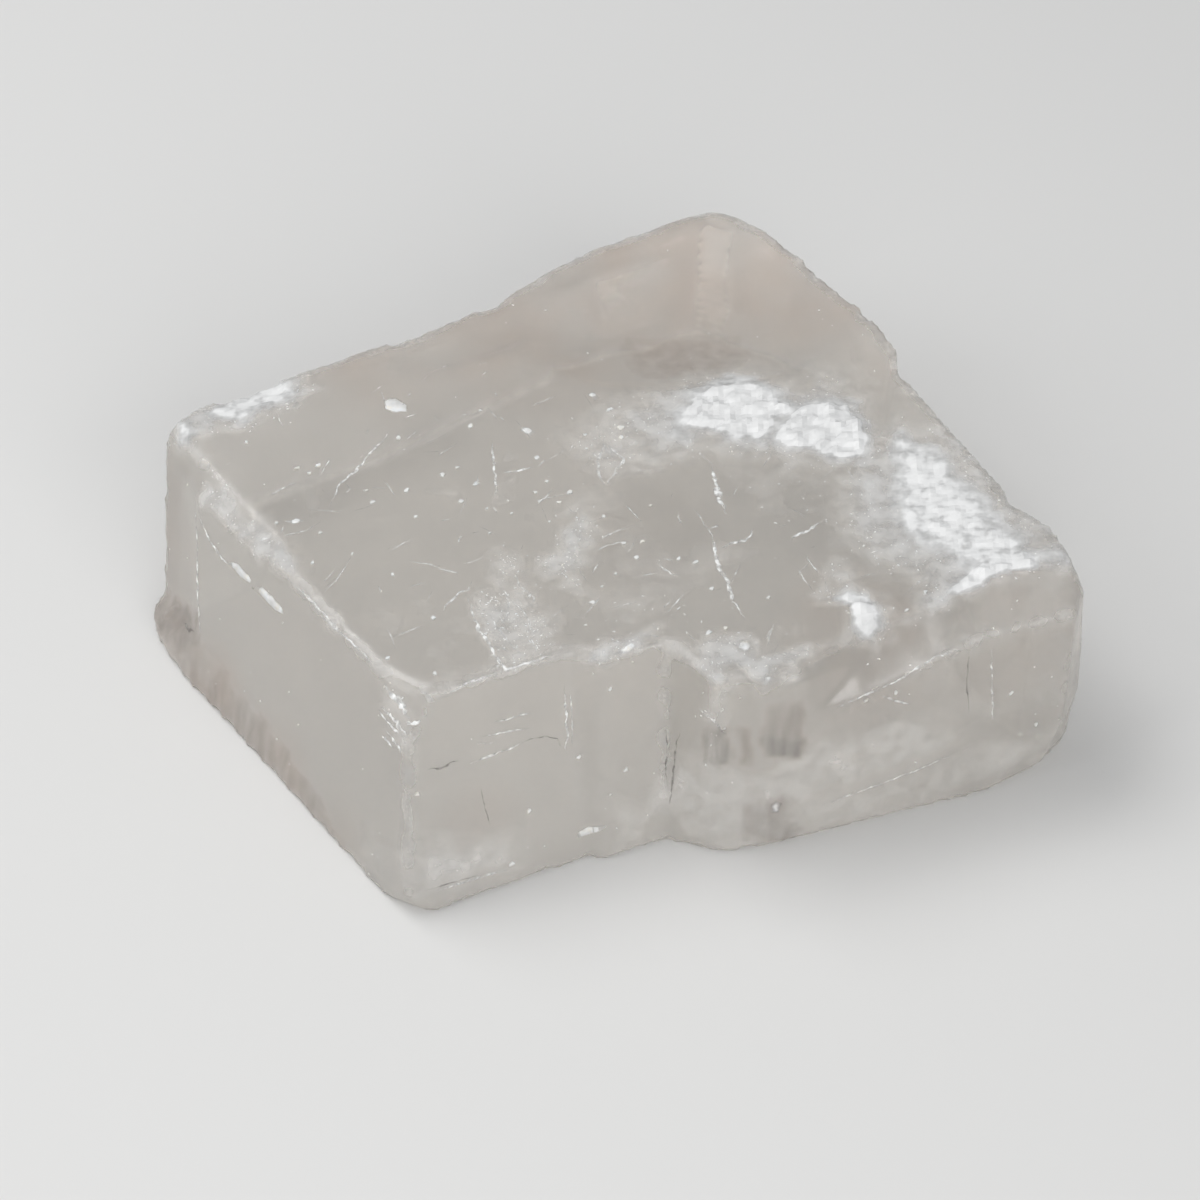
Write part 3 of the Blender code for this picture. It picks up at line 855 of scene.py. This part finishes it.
def filled(ring, step):
    """Triangles over a flat outline, and how far each point is from its border."""
    low = [min(p[k] for p in ring) for k in (0, 1)]
    high = [max(p[k] for p in ring) for k in (0, 1)]
    inner = []
    for j in range(int((high[1] - low[1]) / step) + 1):
        for i in range(int((high[0] - low[0]) / step) + 1):
            spot = Vector((low[0] + (i + 0.5 * (j % 2)) * step, low[1] + j * step))
            if inside(spot, ring) and gap_to(spot, ring) > 0.5 * step:
                inner.append(spot)
    edges = [(k, (k + 1) % len(ring)) for k in range(len(ring))]
    points, _, faces, *_ = delaunay_2d_cdt(ring + inner, edges, [], 1, 1e-4)
    return points, faces, [gap_to(p, ring) for p in points]


def inside(spot, ring):
    hits = False
    for a, b in zip(ring, ring[1:] + ring[:1]):
        if (a.y > spot.y) != (b.y > spot.y):
            hits ^= spot.x < a.x + (spot.y - a.y) * (b.x - a.x) / (b.y - a.y)
    return hits


def gap_to(spot, ring):
    nearest = FAR
    for a, b in zip(ring, ring[1:] + ring[:1]):
        near, share = intersect_point_line(spot, a, b)
        near = a.lerp(b, min(1.0, max(0.0, share)))
        nearest = min(nearest, (near.xy - spot).length)
    return nearest


def add_slab(shape, top, bottom, faces, thick=None):
    """Adds a thin closed slab: two layers of the same faces, and walls round their border."""
    upper = [shape.verts.new(p) for p in top]
    lower = [shape.verts.new(p) for p in bottom]
    if thick is not None:
        layer = shape.verts.layers.float["thick"]
        for above, below, value in zip(upper, lower, thick):
            above[layer] = below[layer] = value
    borders = {}
    for face in faces:
        shape.faces.new([upper[k] for k in face])
        shape.faces.new([lower[k] for k in reversed(face)])
        for a, b in zip(face, list(face[1:]) + list(face[:1])):
            borders[a, b] = True
    for a, b in borders:
        if (b, a) not in borders:
            shape.faces.new([upper[b], upper[a], lower[a], lower[b]])
    for lone in [v for v in upper + lower if not v.link_faces]:
        shape.verts.remove(lone)


def add_flake(shape, skin, outline, seed):
    """A lens of white calcite at the skin, crinkled and thin towards its border."""
    patch = Patch(skin, outline, 0.32, 0.14, seed)
    full = min(0.6, 0.6 * max(patch.gaps)) or 0.1
    swell = [min(1.0, gap / full) for gap in patch.gaps]
    rough = [noise.noise(Vector((*p * 1.9, seed))) for p in patch.points]
    depths = [FLAKE_DEPTH * s + FLAKE_BORDER * (1 - s) + 0.03 * s * r
              for s, r in zip(swell, rough)]
    top, _ = patch.lifted(depths)
    bottom, _ = patch.lifted([d + 0.03 + 0.22 * s for d, s in zip(depths, swell)])
    add_slab(shape, top, bottom, patch.faces)


def add_speck(shape, skin, size, place, seed):
    """One small six-sided plate at the skin, each a little higher than the one before."""
    middle, normal = skin.under(place, 0.0)
    side = normal.orthogonal().normalized()
    up = normal.cross(side)
    ring = []
    for k in range(SPECK_SIDES):
        turn = k * math.tau / SPECK_SIDES + noise.noise(Vector((seed * 3.7, k * 1.9, 0.5)))
        reach = 0.17 * size * (1 + 0.9 * noise.noise(Vector((seed * 1.3, k * 2.1, 5.5))))
        ring.append(middle + reach * (1.4 * math.cos(turn) * side + math.sin(turn) * up))
    rise = SPECK_RISE + SPECK_STEP * seed
    add_slab(shape, [p + normal * rise for p in ring], [p - normal * SPECK_ROOT for p in ring],
             [tuple(range(SPECK_SIDES))])


def add_ribbon(shape, skin, width, path, seed, level):
    """A thin closed ribbon along a path on the skin, tapered at both ends and broken up."""
    layer = shape.verts.layers.float["thick"]
    track = jagged(path, 0.2, 0.7 * width, seed, closed=False)
    spots = [skin.under(p, -PROUD) for p in track]
    rings = []
    for k, (point, normal) in enumerate(spots):
        ahead = spots[min(k + 1, len(spots) - 1)][0] - spots[max(k - 1, 0)][0]
        side = normal.cross(ahead).normalized()
        share = k / (len(spots) - 1)
        taper = min(1.0, 0.1 + 3 * share, 0.1 + 3 * (1 - share))
        ragged = 0.8 + 1.1 * noise.noise(Vector((k * 0.83, seed * 7.7, 0.3)))
        half = 0.5 * width * taper * max(0.15, ragged)
        ring = [shape.verts.new(p) for p in (
            point + side * half, point + normal * 0.2 * half,
            point - side * half, point - normal * 0.6 * half)]
        faint = 0.65 + 0.9 * noise.noise(Vector((k * 0.37, seed * 3.3, 4.1)))
        for corner in ring:
            corner[layer] = level * taper * max(0.1, faint)
        rings.append(ring)
    for here, after in zip(rings, rings[1:]):
        for k in range(4):
            shape.faces.new([here[k], here[k - 1], after[k - 1], after[k]])
    shape.faces.new(rings[0])
    shape.faces.new(rings[-1][::-1])


def finish_piece(name, made, material):
    """Turns millimetres to metres, gives the material and rides the piece on the crystal."""
    mesh = made
    if isinstance(made, bmesh.types.BMesh):
        bmesh.ops.recalc_face_normals(made, faces=made.faces)
        mesh = bpy.data.meshes.new(name)
        made.to_mesh(mesh)
        made.free()
    mesh.transform(Matrix.Scale(MM, 4))
    mesh.name = name
    mesh.materials.clear()
    mesh.materials.append(material)
    piece = object_from(name, mesh)
    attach(piece, "root")
    return piece


def add_ramp(tree, factor, stops):
    """A colour ramp through (position, colour) stops."""
    node = tree.nodes.new("ShaderNodeValToRGB")
    elements = node.color_ramp.elements
    while len(elements) < len(stops):
        elements.new(0.5)
    for element, (position, colour) in zip(elements, stops):
        element.position = position
        element.color = (*colour, 1)
    tree.links.new(factor, node.inputs["Fac"])
    return node.outputs["Color"]


MOTTLED = ((0.36, (0.86, 0.86, 0.86)), (0.60, (1, 1, 1)))
PLAY = ((0.34, (0.96, 0.98, 1.0)), (0.45, (1, 1, 1)), (0.57, (1, 1, 1)),
        (0.68, (1.0, 0.975, 0.92)))


def white_material(name, bright, dull):
    """Broken white calcite: crinkled, patchy, with a faint play of colour."""
    material, tree, shader = new_material(name, {"Roughness": 0.45})
    place = own_place(tree)
    patches = add_ramp(tree, add_noise(tree, place, 900, 4), ((0.36, dull), (0.60, bright)))
    play = add_ramp(tree, add_noise(tree, place, 1700, 1), PLAY)
    tree.links.new(add_mix(tree, 1.0, patches, play, "MULTIPLY"), shader.inputs["Base Color"])
    add_bump(tree, shader, add_noise(tree, place, 2600, 4), 0.6, 0.05)
    return material


def veil_material(name, thin, thick, full, grain, least, stretch=None):
    """A sheet seen where its 'thick' value and a noise leave it, coloured by how thick it is.

    It has its thick colour from a thickness of full on, and the noise leaves the least.
    """
    material, tree, shader = new_material(name, {"Roughness": 0.6, "Specular IOR Level": 0.2})
    thickness = add_attribute(tree, "thick")
    grainy = add_noise(tree, own_place(tree), grain, 2, stretch)
    colour = add_ramp(tree, thickness, ((0.1 * full, thin), (full, thick)))
    colour = add_mix(tree, 1.0, colour, add_ramp(tree, grainy, MOTTLED), "MULTIPLY")
    tree.links.new(colour, shader.inputs["Base Color"])
    broken = add_range(tree, grainy, (0.32, 0.62), (least, 1.2), clamp=False)
    seen = add_math(tree, "MULTIPLY", broken, thickness)
    tree.links.new(add_math(tree, "MULTIPLY", seen, FULL, clamp=True), shader.inputs["Alpha"])
    return material


def add_crinkle(material, grain):
    tree = material.node_tree
    height = add_noise(tree, own_place(tree), grain, 3)
    add_bump(tree, tree.nodes["Principled BSDF"], height, 0.6, 0.12)


class CALCITE_OT_flakes(bpy.types.Operator):
    """Set the white flakes and single specks at the skin"""

    bl_idname = "calcite.flakes"
    bl_label = "White flakes"

    def execute(self, context):
        skin = Skin(bpy.data.objects["crystal"].data)
        shape = bmesh.new()
        view = View()
        for seed, outline in enumerate(FLAKES.values()):
            add_flake(shape, skin, view.places(*outline), seed)
        specks = [(size, place) for size, spots in SPECKS.values()
                  for place in view.places(*spots)]
        for seed, (size, place) in enumerate(specks):
            add_speck(shape, skin, size, place, seed)
        white = white_material("white calcite", (0.80, 0.80, 0.79), (0.64, 0.635, 0.62))
        finish_piece("white_flakes", shape, white)
        return {"FINISHED"}


class CALCITE_OT_cracks(bpy.types.Operator):
    """Draw the bright cracks, the dark seams, some of them painted shade, and the fine scratches
    """

    bl_idname = "calcite.cracks"
    bl_label = "Cracks"

    def execute(self, context):
        skin = Skin(bpy.data.objects["crystal"].data)
        white = veil_material("crack white", (0.86, 0.86, 0.85), (0.86, 0.86, 0.85), 1, 2600, 0.3)
        dark = veil_material("seam shade", (0.30, 0.285, 0.27), (0.30, 0.285, 0.27), 1, 2200, 0.1)
        view = View()
        for name, table, material in (("cracks", CRACKS, white), ("seams", SEAMS_AND_SHADE_LINES, dark)):
            shape = bmesh.new()
            shape.verts.layers.float.new("thick")
            for seed, (drawn, path) in enumerate(table.values()):
                width = round(NARROWER * drawn, 2)
                level = min(0.5, 0.06 + 1.8 * width)
                add_ribbon(shape, skin, width, view.places(*path), seed, level)
            finish_piece(name, shape, material)
        self.scratches(skin, white)
        return {"FINISHED"}

    def scratches(self, skin, material):
        """Short fine scratches over the top, in families that share a heading."""
        draw = random.Random(SCRATCH_SEED)
        shape = bmesh.new()
        shape.verts.layers.float.new("thick")
        (west, south), (east, north) = TOP_FIELD
        for heading, spread_out, count in SCRATCH_FAMILIES:
            for number in range(count):
                start = Vector((draw.uniform(west, east), draw.uniform(south, north), TOP))
                turn = math.radians(heading + draw.uniform(-spread_out, spread_out))
                length = draw.uniform(0.4, 2.6)
                end = start + length * Vector((math.cos(turn), math.sin(turn), 0))
                width, level = draw.uniform(0.03, 0.09), draw.uniform(0.08, 0.4)
                if min(self.on_top(skin, p) for p in (start, end)):
                    bend = 0.5 * (start + end) + Vector((draw.uniform(-0.1, 0.1),) * 2 + (0,))
                    add_ribbon(shape, skin, width, (start, bend, end), number, level)
        finish_piece("scratches", shape, material)

    def on_top(self, skin, place):
        point, normal = skin.under(place, 0)
        return (point - place).length < 0.3 and normal.z > 0.95


class CALCITE_OT_veils(bpy.types.Operator):
    """Lay the milky and the darker veils on the skin, with painted light at the feet and painted
    shade in places, and the flecks in them
    """

    bl_idname = "calcite.veils"
    bl_label = "Veils"

    def execute(self, context):
        crystal = bpy.data.objects["crystal"].data
        cover = Cover(crystal)
        milk_and_light_rows = CLOUDS_AND_PAINTED_LIGHT.values()
        # the broad darker places, partly painted shade, go into the crystal's colour
        write_attribute(crystal, "dim", self.most(cover, DIM.values()))
        shade = self.most(cover, SHADES.values())
        # milk also holds the painted light at the feet and a painted sheen
        milk = self.most(cover, [(veil, soft, outline) for veil, _, soft, outline in milk_and_light_rows])
        milk = (milk + self.haze(cover)) * (1 - 0.6 * np.clip(shade * 3, 0, 1))
        # the milky veils also carry that painted light
        white = veil_material("milky veil and painted light", (0.81, 0.785, 0.75), (0.79, 0.79, 0.785), 0.25, 950,
                              0.6)
        # the dark veils hold dark patches and also painted shade
        dark = veil_material("dark veil and painted shade", (0.38, 0.28, 0.235), (0.27, 0.26, 0.25), 0.07, 1100, 0.3,
                             (1, 1, 0.15))
        crust = veil_material("white crust", (0.79, 0.785, 0.775), (0.79, 0.79, 0.785), 0.25, 950,
                              0.6)
        add_crinkle(crust, 950)
        cover.sheet("milky_veils", np.clip(milk / FULL - FAINT, 0, 2 * CRUST_FROM),
                    VEIL_LIFT, white)
        cover.sheet("white_crust", 1.3 * np.clip(milk / FULL - CRUST_FROM, 0, 1),
                    CRUST_LIFT, crust)
        cover.sheet("dark_veils", shade / FULL, DARK_LIFT, dark)
        dense = self.most(cover, [(flecks, soft, outline) for _, flecks, soft, outline in milk_and_light_rows])
        patchy = 0.45 + 1.3 * grain_noise(cover.points, 0.9, 5, 2)
        flecks = bpy.data.meshes.new("fleck places")
        faces = [face for face in cover.faces if max(dense[k] for k in face) > 0.01]
        flecks.from_pydata(cover.points + FLECK_LIFT * cover.normals, [], faces)
        write_attribute(flecks, "thick", dense * np.clip(patchy, 0, 1))
        object_from("fleck places", flecks)
        return {"FINISHED"}

    def most(self, cover, table):
        """How much of anything in the table lies over each point."""
        view = View()
        total = np.zeros(len(cover.points))
        for strength, soft, outline in table:
            total += (strength * cover.over(view.places(*outline), soft)) ** 3
        return np.cbrt(total)

    def haze(self, cover):
        """The faint uneven haze that lies over all of it, and more along the worn edges."""
        points, normals = cover.points, cover.normals
        wide = grain_noise(points, 7.0, 8, 3)
        fine = grain_noise(points, 1.8, 9, 3)
        edge = np.clip(2.2 * spread(cover.wear, cover.ends, cover.count, 7), 0, 1)
        ragged = np.clip(0.5 + 1.6 * grain_noise(points, 1.2, 10, 3), 0, 1)
        level = np.clip(2 * normals[:, 2] - 0.4, 0.3, 1)
        haze = level * np.clip(0.02 + 0.13 * wide + 0.08 * fine, 0, 1) + 0.28 * edge * ragged
        return haze * (1 - 0.7 * cover.stain) * np.where(normals[:, 2] < -0.6, 0, 1)


class CALCITE_OT_flecks(bpy.types.Operator):
    """Scatter fine flecks in the milky patches, and sparse ones all over"""

    bl_idname = "calcite.flecks"
    bl_label = "Flecks"

    def execute(self, context):
        settings = context.scene.calcite_flecks
        crystal = bpy.data.objects["crystal"]
        white = white_material("fleck white", (0.86, 0.86, 0.85), (0.74, 0.735, 0.72))
        seedling = self.fleck()
        group = self.nodes(seedling, white)
        places = bpy.data.objects["fleck places"]
        self.scatter("milky_flecks", places.data, group, settings, settings.density, 1.0, white)
        bpy.data.objects.remove(places)
        whole = crystal.data.copy()
        whole.transform(Matrix.Scale(1 / MM, 4))
        write_points(whole, read_points(whole) + FLECK_LIFT * read_normals(whole))
        write_attribute(whole, "thick", np.ones(len(whole.vertices)))
        self.scatter("loose_flecks", whole, group, settings, settings.loose, 0.9, white)
        bpy.data.objects.remove(seedling)
        return {"FINISHED"}

    def scatter(self, name, mesh, group, settings, density, size, material):
        sheet = object_from("sheet", mesh)
        scattering = sheet.modifiers.new("flecks", "NODES")
        scattering.node_group = group
        wanted = {"Density": density, "Smallest": size * settings.smallest / MM,
                  "Largest": size * settings.largest / MM, "Spread": settings.spread / MM,
                  "Seed": settings.seed}
        for socket in group.interface.items_tree:
            if socket.name in wanted:
                scattering[socket.identifier] = wanted[socket.name]
        flecks = settled(sheet)
        bpy.data.objects.remove(sheet)
        if not len(flecks.polygons):
            raise RuntimeError(name + " came out empty")
        finish_piece(name, flecks, material)

    def fleck(self):
        """A small leaning plate, as cleaved crumbs of calcite are."""
        shape = bmesh.new()
        low = [shape.verts.new(p) for p in
               ((-1.2, -0.4, -0.18), (0.9, -0.6, -0.18), (1.3, 0.3, -0.18), (-0.8, 0.5, -0.18))]
        high = [shape.verts.new(p) for p in
                ((-0.9, -0.4, 0.18), (1, -0.4, 0.18), (1.4, 0.4, 0.18), (-0.7, 0.6, 0.18))]
        shape.faces.new(low[::-1])
        shape.faces.new(high)
        for k in range(4):
            shape.faces.new([low[k], low[(k + 1) % 4], high[(k + 1) % 4], high[k]])
        mesh = bpy.data.meshes.new("fleck")
        shape.to_mesh(mesh)
        shape.free()
        return object_from("fleck", mesh)

    def nodes(self, fleck, material):
        """The node group that lays leaning plates where a sheet's 'thick' value asks for them."""
        group = bpy.data.node_groups.new("flecks in milky patches", "GeometryNodeTree")
        for name, side, kind in (
                ("Sheets", "INPUT", "Geometry"), ("Density", "INPUT", "Float"),
                ("Smallest", "INPUT", "Float"), ("Largest", "INPUT", "Float"),
                ("Spread", "INPUT", "Float"), ("Seed", "INPUT", "Int"),
                ("Flecks", "OUTPUT", "Geometry")):
            group.interface.new_socket(name, in_out=side, socket_type="NodeSocket" + kind)
        given = group.nodes.new("NodeGroupInput").outputs
        thick = add_node(group, "GeometryNodeInputNamedAttribute", {"Name": "thick"})
        dense = add_math(group, "MULTIPLY", thick.outputs["Attribute"], given["Density"])
        scatter = add_node(group, "GeometryNodeDistributePointsOnFaces",
                           {"Mesh": given["Sheets"], "Density": dense, "Seed": given["Seed"]})
        deep = add_node(group, "FunctionNodeRandomValue",
                        {3: given["Spread"], "Seed": given["Seed"]}, data_type="FLOAT")
        sunk = add_node(group, "ShaderNodeVectorMath",
                        {0: scatter.outputs["Normal"],
                         "Scale": add_math(group, "MULTIPLY", deep.outputs[1], -1)},
                        operation="SCALE")
        moved = add_node(group, "GeometryNodeSetPosition",
                         {"Geometry": scatter.outputs["Points"], "Offset": sunk.outputs[0]})
        tip = add_node(group, "FunctionNodeRandomValue",
                       {0: (-LEAN, -LEAN, -math.pi), 1: (LEAN, LEAN, math.pi)},
                       data_type="FLOAT_VECTOR")
        turn = add_node(group, "FunctionNodeRotateRotation",
                        {"Rotation": scatter.outputs["Rotation"], "Rotate By": tip.outputs[0]},
                        rotation_space="LOCAL")
        size = add_node(group, "FunctionNodeRandomValue",
                        {2: given["Smallest"], 3: given["Largest"]}, data_type="FLOAT")
        plate = add_node(group, "GeometryNodeObjectInfo", {"Object": fleck})
        laid = add_node(group, "GeometryNodeInstanceOnPoints",
                        {"Points": moved.outputs["Geometry"], "Rotation": turn.outputs["Rotation"],
                         "Instance": plate.outputs["Geometry"], "Scale": size.outputs[1]})
        real = add_node(group, "GeometryNodeRealizeInstances",
                        {"Geometry": laid.outputs["Instances"]})
        dressed = add_node(group, "GeometryNodeSetMaterial",
                           {"Geometry": real.outputs["Geometry"], "Material": material})
        add_node(group, "NodeGroupOutput", {"Flecks": dressed.outputs["Geometry"]})
        return group

# ---------------------------------------------------------------- stage


# Soft lights: where, how wide and tall, and how strong in watts.
LIGHTS = {
    "back light": ((-190, 110, 390), (280, 240), 0.88),
    "left light": ((-330, -120, 240), (240, 240), 0.4),
    "front fill": ((120, -350, 200), (300, 240), 0.84),
}
SKY = (0.86, 0.88, 0.90)
SKY_STRENGTH = 0.42
FLOOR = (0.70, 0.695, 0.685)


def plain_material(name, colour, roughness):
    material, _, _ = new_material(name, {
        "Base Color": (*colour, 1), "Roughness": roughness, "Specular IOR Level": 0.2})
    return material


class CALCITE_OT_stage(bpy.types.Operator):
    """Set the pale floor, the soft lights and the camera"""

    bl_idname = "calcite.stage"
    bl_label = "Stage"

    def execute(self, context):
        self.floor()
        for name, (place, size, watts) in LIGHTS.items():
            self.light(name, Vector(place), size, watts)
        self.camera(context.scene)
        self.world(context.scene)
        context.scene.view_settings.view_transform = "Standard"
        return {"FINISHED"}

    def floor(self):
        shape = bmesh.new()
        bmesh.ops.create_circle(shape, cap_ends=True, radius=3000 * MM, segments=64)
        bmesh.ops.translate(shape, vec=(0, 0, -0.02 * MM), verts=shape.verts)
        mesh = bpy.data.meshes.new("floor")
        shape.to_mesh(mesh)
        shape.free()
        mesh.materials.append(plain_material("pale floor", FLOOR, 0.6))
        object_from("floor", mesh)

    def light(self, name, place, size, watts):
        lamp = bpy.data.lights.new(name, "AREA")
        lamp.shape = "RECTANGLE"
        lamp.size, lamp.size_y = size[0] * MM, size[1] * MM
        lamp.energy = watts
        item = bpy.data.objects.new(name, lamp)
        item.location = place * MM
        item.rotation_euler = (-place).to_track_quat("-Z", "Y").to_euler()
        bpy.context.scene.collection.objects.link(item)

    def camera(self, scene):
        rise = math.radians(CAMERA_RISE)
        back = Vector((0, -math.cos(rise), math.sin(rise)))
        lens = bpy.data.cameras.new("camera")
        lens.lens = CAMERA_LENS
        lens.sensor_width = CAMERA_SENSOR
        lens.clip_start = 0.01
        item = bpy.data.objects.new("camera", lens)
        item.location = (CAMERA_AIM + back * CAMERA_DISTANCE) * MM
        item.rotation_euler = (math.radians(90 - CAMERA_RISE), 0, 0)
        scene.collection.objects.link(item)
        scene.camera = item

    def world(self, scene):
        world = bpy.data.worlds.new("studio")
        world.use_nodes = True
        sky = world.node_tree.nodes["Background"]
        sky.inputs["Color"].default_value = (*SKY, 1)
        sky.inputs["Strength"].default_value = SKY_STRENGTH
        scene.world = world


# ---------------------------------------------------------------- panel and run


class CALCITE_PT_panel(bpy.types.Panel):
    """Lists the crystal's pieces"""

    bl_idname = "CALCITE_PT_panel"
    bl_label = "Optical calcite"
    bl_space_type = "VIEW_3D"
    bl_region_type = "UI"
    bl_category = "Calcite"

    def draw(self, context):
        for operator in OPERATORS:
            self.layout.operator(operator.bl_idname)


OPERATORS = (CALCITE_OT_crystal, CALCITE_OT_flakes, CALCITE_OT_cracks, CALCITE_OT_veils,
             CALCITE_OT_flecks, CALCITE_OT_stage)
CLASSES = (CalciteSkin, CalciteLook, CalciteFlecks) + OPERATORS + (CALCITE_PT_panel,)


def register():
    for each in CLASSES:
        bpy.utils.register_class(each)
    bpy.types.Scene.calcite_skin = bpy.props.PointerProperty(type=CalciteSkin)
    bpy.types.Scene.calcite_look = bpy.props.PointerProperty(type=CalciteLook)
    bpy.types.Scene.calcite_flecks = bpy.props.PointerProperty(type=CalciteFlecks)


def unregister():
    del bpy.types.Scene.calcite_skin
    del bpy.types.Scene.calcite_look
    del bpy.types.Scene.calcite_flecks
    for each in reversed(CLASSES):
        bpy.utils.unregister_class(each)


def main():
    register()
    bpy.ops.calcite.crystal()
    bpy.ops.calcite.flakes()
    bpy.ops.calcite.cracks()
    bpy.ops.calcite.veils()
    bpy.ops.calcite.flecks()
    bpy.ops.calcite.stage()


if __name__ == "__main__":
    main()
